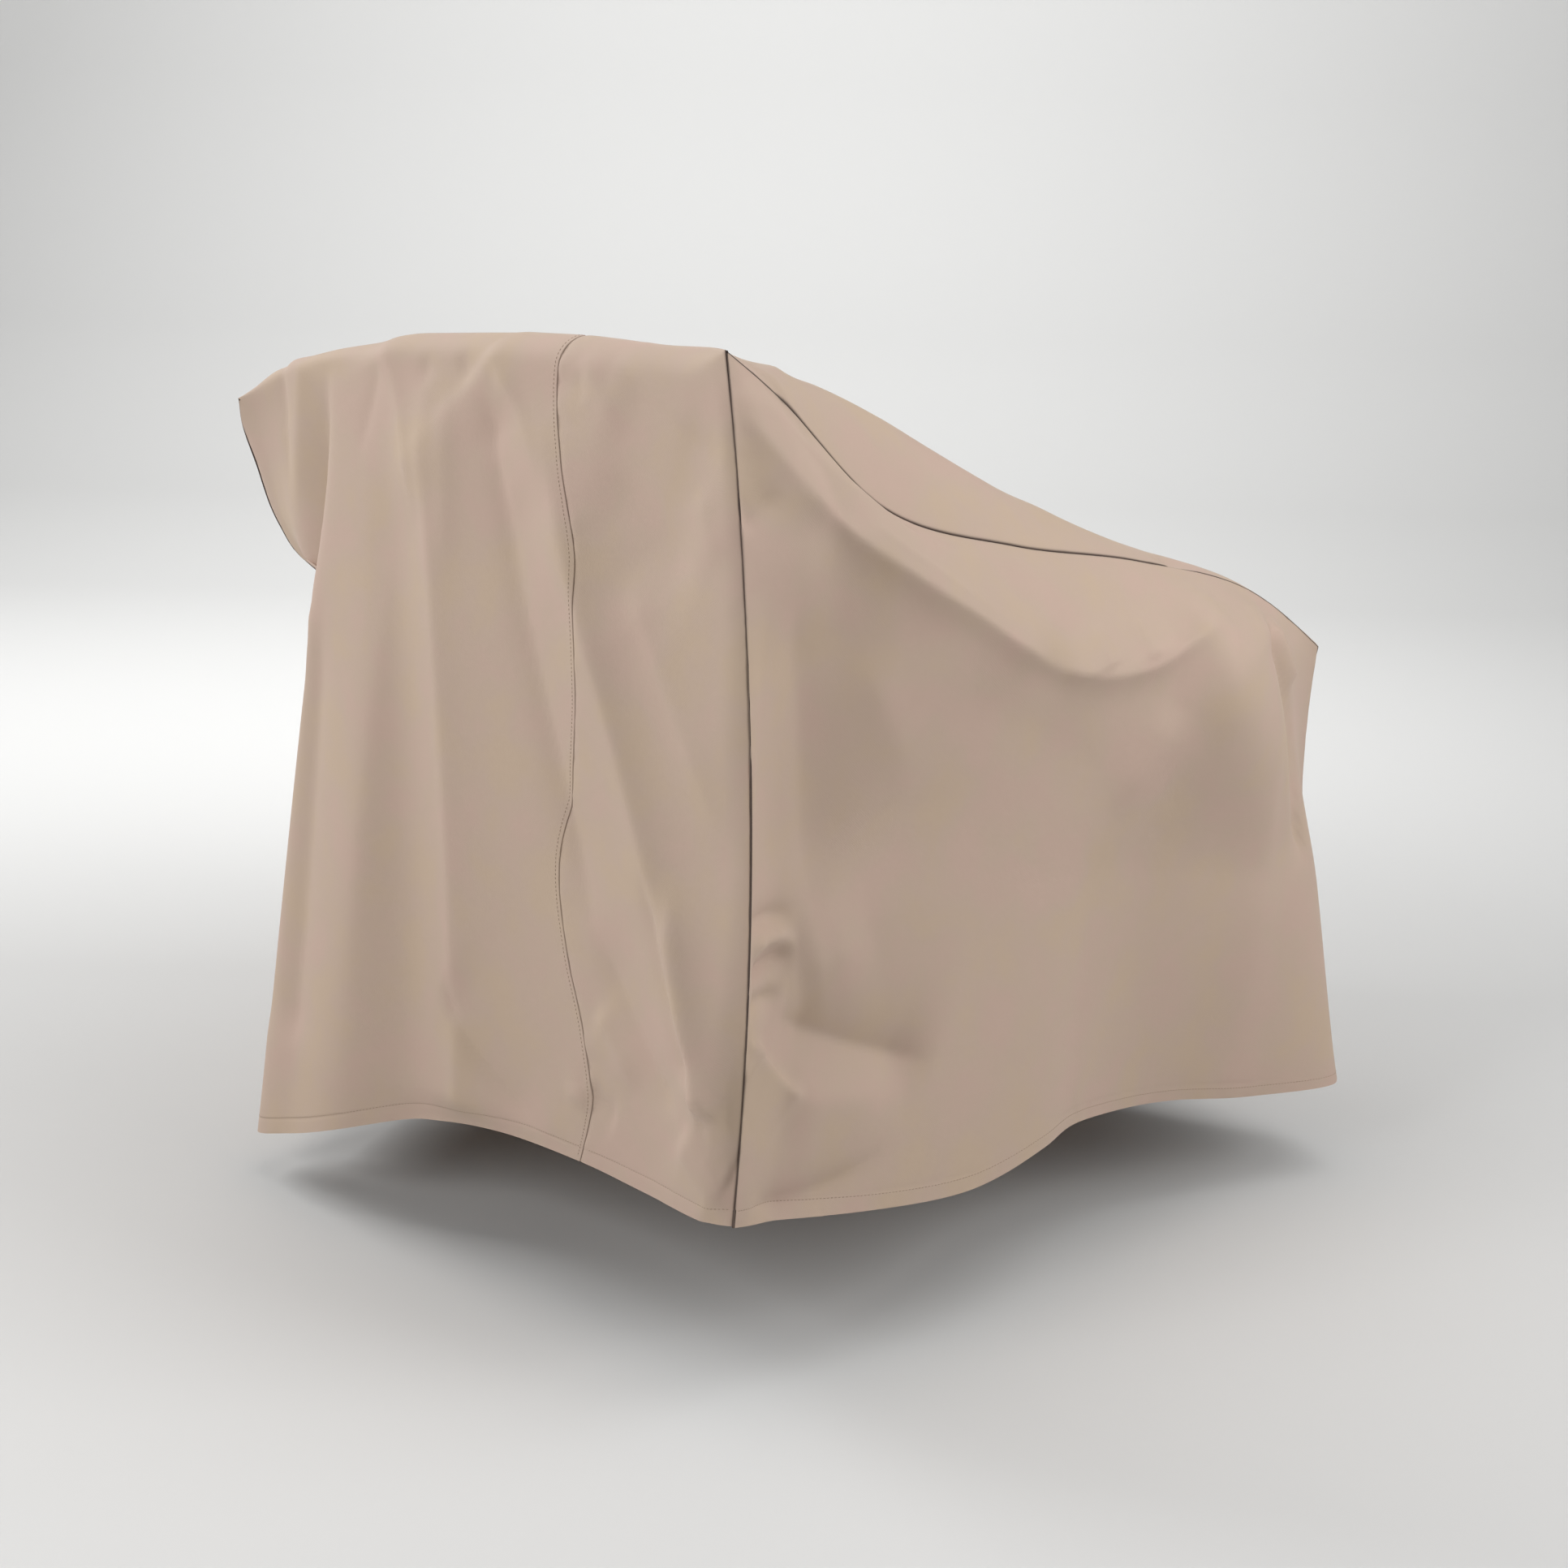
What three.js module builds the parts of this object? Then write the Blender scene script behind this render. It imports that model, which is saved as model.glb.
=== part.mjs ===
// Fitted lounge chair cover, as it hangs over the chair: four panels of coated polyester in millimetres, +Z up.
// Heights in the tables are above the floor; the group then moves so that the origin lies at the chair back's top.
import * as THREE from 'three';

const CLOTH = 1.6; // thickness of the sheet with its coating
const SEAM_GAP = 0.75; // between two panels along a seam
const CORNER_RELIEF = 4; // how far a side's top corner stops short of the strip's
const PLY_SEAM = 0.304; // where the narrow width ends, as a share of the strip's 838 mm
const REST_X = 0; // where the chair back carries the cover
const REST_Y = 350;
const REST_Z = 943;

const NARROW_COLUMNS = 9;
const WIDE_COLUMNS = 20;
const DROP_ROWS = 21; // from hem to rim, on every side
const ROLL_ROWS = 4; // of these, the rows round the rim
const ROLL_START = 0.955;
const SEAT_ROWS = 24; // from back rim to front rim
const SEAM_REACH = 0.1; // how far a side panel bends to meet its seams

const CLOTH_COLOUR = '#b59f90';

const rows = (names, table) =>
  table.map((row) => Object.fromEntries(names.split(' ').map((name, i) => [name, row[i]])));

// The back hangs from its rim: u runs from the near seam to the far one, mid is halfway down.
const BACK = rows('u topX topY topZ midX midY hemX hemY hemZ roll', [
  [0.0, -333, 385, 971, -402, 407, -394, 412, 187, 0],
  [0.05, -290, 384, 967, -356, 403, -352, 412, 180, 22],
  [0.15, -212, 383, 961, -268, 396, -256, 403, 171, 26],
  [0.304, -98, 383, 957, -134, 398, -150, 399, 165, 26],
  [0.45, 30, 383, 946, -10, 400, -16, 402, 153, 24],
  [0.57, 131, 384, 934, 84, 401, 72, 410, 137, 22],
  [0.64, 183, 385, 926, 143, 402, 126, 420, 124, 20],
  [0.71, 234, 385, 915, 202, 418, 200, 460, 98, 17],
  [0.8, 308, 385, 900, 288, 418, 288, 466, 66, 13],
  [0.89, 388, 385, 879, 358, 411, 364, 462, 46, 12],
  [0.94, 436, 385, 862, 374, 375, 379, 428, 52, 12],
  [1.0, 494, 385, 829, 380, 338, 368, 395, 66, 0],
]);

// The top sags between the two arms: w runs from the back rim to the front one.
const SEAT = rows('w nearX nearY nearZ ridgeX ridgeY ridgeZ sag farRidgeX farRidgeZ farX farY farZ', [
  [0.1, -333, 324, 926, -288, 285, 938, 40, 262, 912, 490, 300, 800],
  [0.27, -345, 206, 818, -286, 200, 902, 90, 270, 890, 440, 190, 765],
  [0.46, -345, 37, 765, -286, 15, 815, 130, 262, 808, 400, 30, 700],
  [0.65, -338, -143, 729, -286, -152, 742, 130, 258, 744, 395, -140, 660],
  [0.84, -333, -325, 676, -286, -330, 681, 110, 258, 688, 420, -310, 620],
  [1.0, -328, -453, 597, -284, -432, 624, 60, 262, 626, 480, -445, 560],
]);
const NEAR_RIDGE = 0.085; // shares of the strip's width
const FAR_RIDGE = 0.83;

const FRONT = rows('u midX midY hemX hemY hemZ roll', [
  [0.0, -318, -462, -338, -500, 106, 0],
  [0.05, -288, -483, -302, -512, 104, 22],
  [0.25, -150, -458, -160, -455, 98, 30],
  [0.45, 20, -475, 10, -500, 92, 30],
  [0.65, 190, -452, 190, -450, 84, 30],
  [0.85, 340, -468, 350, -486, 78, 24],
  [1.0, 440, -440, 425, -440, 70, 0],
]);

// A side falls from the arm seam over the arm's edge: u runs from the back seam to the front one.
const NEAR_SIDE = rows('u edgeX edgeY edgeZ edgeV midX midY hemX hemY hemZ', [
  [0.0, -360, 392, 861, 0.86, -404, 407, -394, 412, 187],
  [0.06, -356, 340, 884, 0.91, -372, 354, -389, 362, 176],
  [0.13, -357, 282, 820, 0.89, -372, 305, -392, 310, 167],
  [0.2, -372, 223, 778, 0.87, -376, 246, -398, 252, 160],
  [0.35, -392, 127, 718, 0.845, -390, 130, -406, 122, 149],
  [0.5, -404, -2, 658, 0.81, -396, 8, -393, 5, 159],
  [0.58, -400, -70, 646, 0.825, -386, -58, -368, -62, 158],
  [0.65, -396, -124, 656, 0.866, -378, -122, -350, -135, 147],
  [0.76, -392, -217, 680, 0.93, -384, -222, -344, -240, 132],
  [0.86, -372, -308, 640, 0.935, -386, -330, -364, -350, 116],
  [0.94, -350, -382, 590, 0.92, -370, -424, -383, -469, 108],
  [1.0, -320, -458, 480, 0.76, -318, -462, -338, -500, 106],
]);
const FAR_SIDE = rows('u edgeX edgeY edgeZ edgeV midX midY hemX hemY hemZ', [
  [0.0, 440, 366, 638, 0.75, 366, 338, 352, 400, 70],
  [0.15, 460, 270, 700, 0.88, 440, 270, 425, 280, 66],
  [0.4, 425, 60, 640, 0.9, 445, 60, 455, 60, 66],
  [0.65, 420, -160, 600, 0.9, 430, -160, 425, -165, 68],
  [0.85, 440, -330, 560, 0.92, 425, -340, 450, -345, 70],
  [1.0, 455, -444, 430, 0.73, 440, -440, 425, -440, 70],
]);
const SIDE_MID = 0.45; // height of mid, as a share of the way up

// Folds run from one end to the other, a across the panel and b up it, or forward on the top.
// High is the ridge's height, or a trough's depth when negative, soft the rounding of its crest; left and
// right are its two flanks' widths, and easeIn and easeOut the shares of its length over which it grows and fades.
const FOLD = 'a0 b0 a1 b1 bow high left right soft easeIn easeOut';
const BACK_FOLDS = rows(FOLD, [
  [126, 930, 36, 140, 26, 18, 52, 60, 10, 0.2, 0.05],
  [118, 924, 82, 640, 4, 6, 105, 40, 16, 0.3, 0.5],
  [160, 790, 192, 110, -12, 7, 42, 44, 12, 0.35, 0.5],
  [-36, 934, -420, 190, 12, 27, 105, 42, 10, 0.2, 0.24],
  [24, 905, -194, 372, -4, -10, 24, 52, 8, 0.1, 0.25],
  [-205, 764, -384, 520, 6, 11, 34, 60, 10, 0.2, 0.4],
  [-176, 938, -344, 870, -4, -6, 44, 24, 10, 0.25, 0.35],
  [300, 905, 348, 612, 2, -24, 62, 20, 8, 0.6, 0.12],
  [300, 640, 302, 150, 0, -7, 34, 24, 10, 0.2, 0.1],
]);
const SEAT_FOLDS = rows(FOLD, [
  [-235, 250, -40, -60, 14, 7, 40, 40, 20, 0.3, 0.4],
  [240, 240, 70, -90, -14, 8, 40, 40, 20, 0.3, 0.4],
  [-200, -400, -40, -120, 10, 7, 36, 36, 20, 0.3, 0.4],
  [190, -400, 60, -150, -10, 8, 36, 36, 20, 0.3, 0.4],
  [10, 320, 20, 60, 8, -7, 44, 44, 20, 0.2, 0.4],
]);
const FRONT_FOLDS = rows(FOLD, [
  [-205, 590, -190, 100, 8, 13, 34, 34, 14, 0.3, 0.1],
  [-45, 550, -65, 95, -6, -11, 36, 36, 18, 0.3, 0.1],
  [120, 560, 135, 90, 8, 13, 34, 40, 14, 0.3, 0.1],
  [290, 580, 275, 80, 6, -11, 34, 34, 18, 0.3, 0.1],
]);
const NEAR_FOLDS = rows(FOLD, [
  [404, 944, 290, 808, 0, 11, 20, 44, 8, 0.2, 0.3],
  [350, 862, 20, 648, -6, 17, 24, 50, 8, 0.25, 0.15],
  [64, 670, -226, 694, -44, 17, 24, 50, 8, 0.2, 0.22],
  [222, 668, -90, 502, 10, -13, 110, 74, 24, 0.15, 0.4],
  [-272, 700, -290, 470, 0, 18, 46, 60, 12, 0.05, 0.7],
  [-282, 620, -316, 170, 0, 8, 60, 56, 12, 0.3, 0.4],
  [330, 800, 304, 430, 10, -16, 50, 120, 14, 0.3, 0.3],
  [356, 374, 158, 286, -6, -20, 36, 42, 8, 0.25, 0.25],
  [322, 394, 226, 420, 8, 8, 40, 34, 12, 0.3, 0.5],
  [350, 288, 190, 262, 0, 8, 34, 24, 12, 0.3, 0.4],
]);
const FAR_FOLDS = rows(FOLD, [
  [270, 700, 250, 80, 8, 12, 34, 34, 14, 0.3, 0.1],
  [120, 640, 130, 80, 0, -10, 36, 36, 18, 0.3, 0.1],
  [-60, 600, -50, 80, -8, 10, 36, 36, 14, 0.3, 0.1],
  [-230, 580, -220, 80, 0, -12, 34, 34, 18, 0.3, 0.1],
  [-350, 560, -362, 80, 6, 10, 30, 30, 14, 0.3, 0.1],
]);

// The seam between the two widths wanders sideways as the cloth behind it rolls.
const WANDER = rows('z shift', [
  [170, 0], [240, -22], [300, -14], [380, 10], [460, 20], [550, -2],
  [640, -27], [760, -33], [850, 0], [910, 12], [957, 2],
]);
const WANDER_REACH = 0.09;
// The strip's far edge stands out below the rim, then falls back in
const FAR_EDGE = rows('z shift', [
  [60, -8], [260, 0], [400, -16], [507, -40], [575, -60], [620, -72], [640, -62],
  [666, 0], [690, 18], [760, 21], [800, 14], [835, -8], [870, 0],
]);
const FAR_EDGE_REACH = 0.13;

const clamp = (t) => Math.min(Math.max(t, 0), 1);
const ease = (t) => clamp(t) ** 2 * (3 - 2 * clamp(t));

// Smooth curve through values set at uneven places.
function through(at, values, t) {
  const last = at.length - 1;
  const rise = (i) => (values[i + 1] - values[i]) / (at[i + 1] - at[i]);
  const inner = (i) => {
    const before = at[i] - at[i - 1];
    const after = at[i + 1] - at[i];
    return (rise(i - 1) * after + rise(i) * before) / (before + after);
  };
  const slope = (i) => {
    if (i === 0) return 1.5 * rise(0) - 0.5 * inner(1);
    if (i === last) return 1.5 * rise(last - 1) - 0.5 * inner(last - 1);
    return inner(i);
  };
  let i = 0;
  while (i < last - 1 && t > at[i + 1]) i += 1;
  const span = at[i + 1] - at[i];
  const s = (t - at[i]) / span;
  const blend = s * s * (3 - 2 * s);
  return values[i] * (1 - blend) + values[i + 1] * blend
    + span * s * (1 - s) * (slope(i) * (1 - s) - slope(i + 1) * s);
}

const column = (table, place, name, t) =>
  through(table.map((row) => row[place]), table.map((row) => row[name]), t);

const station = (table, place, t) =>
  Object.fromEntries(Object.keys(table[0]).map((name) => [name, column(table, place, name, t)]));

const pointThrough = (at, points, t) =>
  new THREE.Vector3(...['x', 'y', 'z'].map((axis) => through(at, points.map((p) => p[axis]), t)));

// Hanging line from hem (v = 0) by mid (v = 0.5) to top (v = 1).
const hang = (hem, mid, top, v) => hem * (1 - v) * (1 - 2 * v) + 4 * mid * v * (1 - v) + top * v * (2 * v - 1);

const turnOver = (z, topZ, roll) => {
  if (roll < 1) return 0;
  const q = clamp((z - topZ + roll) / roll);
  return roll * (1 - Math.sqrt(1 - q * q));
};

function backPoint(u, v) {
  const s = station(BACK, 'u', u);
  const z = s.hemZ + (s.topZ - s.hemZ) * v;
  const near = Math.exp(-(((u - PLY_SEAM) / WANDER_REACH) ** 2));
  const far = Math.exp(-(((u - 1) / FAR_EDGE_REACH) ** 2));
  return new THREE.Vector3(
    hang(s.hemX, s.midX, s.topX, v) + near * column(WANDER, 'z', 'shift', z) +
      far * column(FAR_EDGE, 'z', 'shift', z),
    hang(s.hemY, s.midY, s.topY, v) - turnOver(z, s.topZ, s.roll),
    z,
  );
}

function seatSection(row, u) {
  const span = row.farRidgeX - row.ridgeX;
  const between = [[0.25, 0.7], [0.5, 1], [0.75, 0.7]].map(([t, share]) => [
    NEAR_RIDGE + (FAR_RIDGE - NEAR_RIDGE) * t,
    new THREE.Vector3(
      row.ridgeX + span * t,
      row.ridgeY,
      row.ridgeZ + (row.farRidgeZ - row.ridgeZ) * t - row.sag * share,
    ),
  ]);
  const knots = [
    [0, new THREE.Vector3(row.nearX, row.nearY, row.nearZ)],
    [NEAR_RIDGE, new THREE.Vector3(row.ridgeX, row.ridgeY, row.ridgeZ)],
    ...between,
    [FAR_RIDGE, new THREE.Vector3(row.farRidgeX, row.ridgeY, row.farRidgeZ)],
    [1, new THREE.Vector3(row.farX, row.farY, row.farZ)],
  ];
  return pointThrough(knots.map((k) => k[0]), knots.map((k) => k[1]), u);
}

function seatPoint(u, w) {
  const points = [backPoint(u, 1), ...SEAT.map((row) => seatSection(row, u))];
  return pointThrough([0, ...SEAT.map((row) => row.w)], points, w);
}

function frontPoint(u, v) {
  const rim = seatPoint(u, 1);
  const s = station(FRONT, 'u', u);
  const z = s.hemZ + (rim.z - s.hemZ) * v;
  return new THREE.Vector3(
    hang(s.hemX, s.midX, rim.x, v),
    hang(s.hemY, s.midY, rim.y - s.roll, v) + turnOver(z, rim.z, s.roll),
    z,
  );
}

function freeSidePoint(table, seamU, u, v) {
  const s = station(table, 'u', u);
  const points = [
    new THREE.Vector3(s.hemX, s.hemY, s.hemZ),
    new THREE.Vector3(s.midX, s.midY, s.hemZ + ((s.edgeZ - s.hemZ) * SIDE_MID) / s.edgeV),
    new THREE.Vector3(s.edgeX, s.edgeY, s.edgeZ),
    seatPoint(seamU, u),
  ];
  return pointThrough([0, SIDE_MID, s.edgeV, 1], points, v);
}

function sidePoint(table, seamU, u, v) {
  const toBack = backPoint(seamU, v).sub(freeSidePoint(table, seamU, 0, v));
  const toFront = frontPoint(seamU, v).sub(freeSidePoint(table, seamU, 1, v));
  return freeSidePoint(table, seamU, u, v)
    .addScaledVector(toBack, ease(1 - u / SEAM_REACH))
    .addScaledVector(toFront, ease(1 - (1 - u) / SEAM_REACH));
}

function relief(folds, a, b) {
  let total = 0;
  for (const fold of folds) {
    const da = fold.a1 - fold.a0;
    const db = fold.b1 - fold.b0;
    const length = Math.hypot(da, db);
    const t = ((a - fold.a0) * da + (b - fold.b0) * db) / length ** 2;
    const off = ((a - fold.a0) * db - (b - fold.b0) * da) / length - fold.bow * 4 * t * (1 - t);
    const away = Math.hypot(off, fold.soft) - fold.soft;
    const ends = ease(t / fold.easeIn) * ease((1 - t) / fold.easeOut);
    total += fold.high * ends * Math.exp(-away / (off < 0 ? fold.left : fold.right));
  }
  return total;
}

// A sheet's grid of points, its first index across and its second along, with outward normals.
const dropShares = Array.from({ length: DROP_ROWS + 1 }, (_, j) => {
  const body = DROP_ROWS - ROLL_ROWS;
  if (j <= body) return (ROLL_START * j) / body;
  return ROLL_START + (1 - ROLL_START) * Math.sin(((j - body) / ROLL_ROWS) * (Math.PI / 2));
});
const seatShares = Array.from({ length: SEAT_ROWS + 1 }, (_, j) => j / SEAT_ROWS);
const stripShares = [
  ...Array.from({ length: NARROW_COLUMNS }, (_, i) => (PLY_SEAM * i) / NARROW_COLUMNS),
  ...Array.from({ length: WIDE_COLUMNS + 1 }, (_, i) => PLY_SEAM + ((1 - PLY_SEAM) * i) / WIDE_COLUMNS),
];

function gridNormals(grid, outwards) {
  const at = (i, j) => grid[Math.min(Math.max(i, 0), grid.length - 1)][Math.min(Math.max(j, 0), grid[0].length - 1)];
  return grid.map((line, i) => line.map((_, j) => {
    const across = at(i + 1, j).clone().sub(at(i - 1, j));
    const along = at(i, j + 1).clone().sub(at(i, j - 1));
    return across.cross(along).normalize().multiplyScalar(outwards);
  }));
}

const seamEase = (t) => ease(t / 0.05) * ease((1 - t) / 0.05);

function stripGrid() {
  const grid = stripShares.map((u) => [
    ...dropShares.map((v) => backPoint(u, v)),
    ...seatShares.slice(1).map((w) => seatPoint(u, w)),
    ...dropShares.slice(0, -1).reverse().map((v) => frontPoint(u, v)),
  ]);
  const normals = gridNormals(grid, -1);
  return grid.map((line, i) => line.map((p, j) => {
    let high = relief(FRONT_FOLDS, p.x, p.z);
    if (j <= DROP_ROWS) high = relief(BACK_FOLDS, p.x, p.z);
    else if (j <= DROP_ROWS + SEAT_ROWS) high = relief(SEAT_FOLDS, p.x, p.y);
    return p.clone().addScaledVector(normals[i][j], high * seamEase(stripShares[i]));
  }));
}

function sideGrid(table, folds, seamU, outwards) {
  const grid = seatShares.map((u) => dropShares.map((v) => sidePoint(table, seamU, u, v)));
  const normals = gridNormals(grid, outwards);
  return grid.map((line, i) => line.map((p, j) => {
    const calm = seamEase(seatShares[i]) * ease((1 - dropShares[j]) / 0.05);
    return p.clone().addScaledVector(normals[i][j], relief(folds, p.y, p.z) * calm);
  }));
}

// Where a side panel's edge meets the strip: its own grid place, and the row along the strip.
const seamPlaces = [
  ...dropShares.map((_, j) => ({ i: 0, j, row: j })),
  ...seatShares.slice(1).map((_, i) => ({ i: i + 1, j: DROP_ROWS, row: DROP_ROWS + i + 1 })),
  ...dropShares.slice(1).map((_, k) => ({
    i: SEAT_ROWS,
    j: DROP_ROWS - k - 1,
    row: DROP_ROWS + SEAT_ROWS + k + 1,
  })),
];

// Each sheet point has its outer place and the way to its inner one. Along a seam both sheets share the
// mitre, and each steps back from it by half the gap.
function sheet(grid, outwards) {
  const normals = gridNormals(grid, outwards);
  return {
    outer: grid.map((line) => line.map((p) => p.clone())),
    inward: normals.map((line) => line.map((n) => n.clone().multiplyScalar(-CLOTH))),
    outwards,
  };
}

// Level with the sheet and square to the seam, at its k-th point.
function squareToSeam(seam, inward, k) {
  const run = seam[Math.min(k + 1, seam.length - 1)].clone().sub(seam[Math.max(k - 1, 0)]);
  return run.cross(inward).normalize();
}

const stepTowards = (point, square, neighbour, step) => {
  const side = Math.sign(neighbour.clone().sub(point).dot(square));
  return point.clone().addScaledVector(square, side * step);
};

function mitre(strip, line, side) {
  const seam = seamPlaces.map(({ row }) => strip.outer[line][row].clone());
  seamPlaces.forEach(({ i, j, row }, k) => {
    const mean = strip.inward[line][row].clone().add(side.inward[i][j]).normalize();
    const half = Math.max(mean.dot(strip.inward[line][row]) / CLOTH, 0.6);
    const square = squareToSeam(seam, mean, k);
    const neighbour = strip.outer[line === 0 ? 1 : line - 1][row];
    strip.inward[line][row] = mean.clone().multiplyScalar(CLOTH / half);
    side.inward[i][j] = mean.clone().multiplyScalar(CLOTH / half);
    strip.outer[line][row] = stepTowards(seam[k], square, neighbour, SEAM_GAP / 2);
    side.outer[i][j] = stepTowards(seam[k], square, neighbour, -SEAM_GAP / 2);
  });
  // At the two top corners the side's point stops short, so that three edges can meet.
  for (const [i, inside] of [[0, 1], [SEAT_ROWS, SEAT_ROWS - 1]]) {
    const corner = side.outer[i][DROP_ROWS];
    const into = side.outer[inside][DROP_ROWS - 1].clone().sub(corner).normalize();
    corner.addScaledVector(into, CORNER_RELIEF);
  }
}

function cutStrip(strip, from, to) {
  const part = {
    outer: strip.outer.slice(from, to + 1).map((line) => line.map((p) => p.clone())),
    inward: strip.inward.slice(from, to + 1),
    outwards: strip.outwards,
  };
  const stepBack = (edge, inside) => {
    const seam = part.outer.at(edge);
    part.outer.splice(edge, 1, seam.map((p, j) => {
      const square = squareToSeam(seam, part.inward.at(edge)[j], j);
      return stepTowards(p, square, part.outer.at(inside)[j], SEAM_GAP / 2);
    }));
  };
  if (from > 0) stepBack(0, 1);
  if (to < stripShares.length - 1) stepBack(-1, -2);
  return part;
}

// Closed mesh of one sheet: outer face, inner face and the cut edge all round.
function sheetMesh(name, { outer, inward, outwards }) {
  const across = outer.length;
  const along = outer[0].length;
  const inner = outer.map((line, i) => line.map((p, j) => p.clone().add(inward[i][j])));
  const positions = [...outer.flat(), ...inner.flat()].flatMap((p) => [p.x, p.y, p.z]);
  const out = (i, j) => i * along + j;
  const inn = (i, j) => across * along + out(i, j);
  const index = [];
  const face = (a, b, c, d) => {
    const ring = outwards > 0 ? [a, b, c, d] : [d, c, b, a];
    index.push(ring[0], ring[1], ring[2], ring[0], ring[2], ring[3]);
  };
  for (let i = 0; i < across - 1; i += 1) {
    for (let j = 0; j < along - 1; j += 1) {
      face(out(i, j), out(i + 1, j), out(i + 1, j + 1), out(i, j + 1));
      face(inn(i, j), inn(i, j + 1), inn(i + 1, j + 1), inn(i + 1, j));
    }
  }
  for (let i = 0; i < across - 1; i += 1) {
    face(out(i + 1, 0), out(i, 0), inn(i, 0), inn(i + 1, 0));
    face(out(i, along - 1), out(i + 1, along - 1), inn(i + 1, along - 1), inn(i, along - 1));
  }
  for (let j = 0; j < along - 1; j += 1) {
    face(out(0, j), out(0, j + 1), inn(0, j + 1), inn(0, j));
    face(out(across - 1, j + 1), out(across - 1, j), inn(across - 1, j), inn(across - 1, j + 1));
  }
  const geometry = new THREE.BufferGeometry();
  geometry.setAttribute('position', new THREE.Float32BufferAttribute(positions, 3));
  geometry.setIndex(index);
  geometry.computeVertexNormals();
  const mesh = new THREE.Mesh(geometry, new THREE.MeshStandardMaterial({
    color: CLOTH_COLOUR,
    roughness: 0.8,
    metalness: 0,
  }));
  mesh.name = name;
  return mesh;
}

const strip = sheet(stripGrid(), -1);
const nearSide = sheet(sideGrid(NEAR_SIDE, NEAR_FOLDS, 0, 1), 1);
const farSide = sheet(sideGrid(FAR_SIDE, FAR_FOLDS, 1, -1), -1);
mitre(strip, 0, nearSide);
mitre(strip, stripShares.length - 1, farSide);

const cover = new THREE.Group();
cover.add(
  sheetMesh('centre_panel_wide', cutStrip(strip, NARROW_COLUMNS, stripShares.length - 1)),
  sheetMesh('centre_panel_narrow', cutStrip(strip, 0, NARROW_COLUMNS)),
  sheetMesh('side_panel_near', nearSide),
  sheetMesh('side_panel_far', farSide),
);
cover.position.set(-REST_X, -REST_Y, -REST_Z);

export default cover;
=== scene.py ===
import math

import bpy
import numpy as np
from mathutils import Matrix, Vector


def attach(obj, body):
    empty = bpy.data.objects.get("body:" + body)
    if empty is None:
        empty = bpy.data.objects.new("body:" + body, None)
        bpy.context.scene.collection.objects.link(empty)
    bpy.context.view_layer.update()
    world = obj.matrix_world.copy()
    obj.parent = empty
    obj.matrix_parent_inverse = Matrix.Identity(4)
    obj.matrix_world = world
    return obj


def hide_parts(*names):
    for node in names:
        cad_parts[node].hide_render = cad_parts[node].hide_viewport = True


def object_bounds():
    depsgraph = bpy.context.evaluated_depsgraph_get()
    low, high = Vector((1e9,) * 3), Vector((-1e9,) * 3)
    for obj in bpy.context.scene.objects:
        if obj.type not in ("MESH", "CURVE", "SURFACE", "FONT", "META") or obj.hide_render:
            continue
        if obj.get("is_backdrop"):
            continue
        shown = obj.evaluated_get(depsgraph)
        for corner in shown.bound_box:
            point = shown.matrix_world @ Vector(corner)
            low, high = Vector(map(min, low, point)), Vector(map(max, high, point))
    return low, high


# A lounge chair cover, fitted to a high back and low rounded arms, as it hangs in use. It is cut from
# plain-weave polyester with a coated inside, in four panels that are lock-stitched together, and its bottom
# edge is turned up and topstitched. It is hollow and open underneath.
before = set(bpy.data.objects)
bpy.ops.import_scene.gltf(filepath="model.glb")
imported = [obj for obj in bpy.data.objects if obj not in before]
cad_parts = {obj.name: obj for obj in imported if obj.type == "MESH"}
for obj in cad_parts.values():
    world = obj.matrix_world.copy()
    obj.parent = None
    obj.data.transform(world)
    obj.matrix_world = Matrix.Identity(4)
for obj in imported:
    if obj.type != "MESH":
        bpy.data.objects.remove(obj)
cad_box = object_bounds()
FRAME_ORIGIN = np.array([0.0, 350.0, 943.0])  # mm from the floor, under the back's rim

# Camera: beyond the near corner, a little higher than the cover.
EYE = Vector((-2.20246, 1.58377, 0.33555))
EYE_RIGHT = Vector((-0.651321, -0.758503, 0.021318))
EYE_UP = Vector((0.220996, -0.162742, 0.961601))
LENS = 65.22  # mm, on a 36 mm frame

camera = bpy.data.objects.new("camera", bpy.data.cameras.new("camera"))
camera.data.lens = LENS
camera.data.sensor_width = 36
camera.data.clip_end = 40
turned = Matrix((EYE_RIGHT, EYE_UP, EYE_RIGHT.cross(EYE_UP))).transposed()
camera.matrix_world = Matrix.Translation(EYE) @ turned.to_4x4()
bpy.context.scene.collection.objects.link(camera)
bpy.context.scene.camera = camera
bpy.context.scene.view_settings.view_transform = "Standard"

# Studio: a sweep of pale matt paper and square soft boxes aimed at the cover's middle. One grazes the back's
# folds from behind at the left, one faces the back and one the side panel, and weaker ones stand high at the
# right and hang overhead. The last faces away from the cover and lights the paper behind it.
LIGHT_AIM = Vector((0, -0.35, -0.443))
LIGHTS = [
    # name, turn from the camera's side of the cover to its right and rise from the floor in degrees, distance
    # and side in m, watts
    ("rear_left_softbox", -115, 30, 3.6, 2.0, 73),
    ("back_softbox", -42, 22, 3.6, 1.8, 52),
    ("side_softbox", 64, 24, 3.0, 1.6, 40.5),
    ("high_right_softbox", 70, 58, 2.4, 1.4, 17),
    ("overhead_softbox", 0, 89.9, 2.6, 1.6, 15),
]
AIR_LIGHT = 0.11
towards_eye = Vector((EYE.x - LIGHT_AIM.x, EYE.y - LIGHT_AIM.y, 0)).normalized()
to_right = Vector((EYE_RIGHT.x, EYE_RIGHT.y, 0)).normalized()


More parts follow.
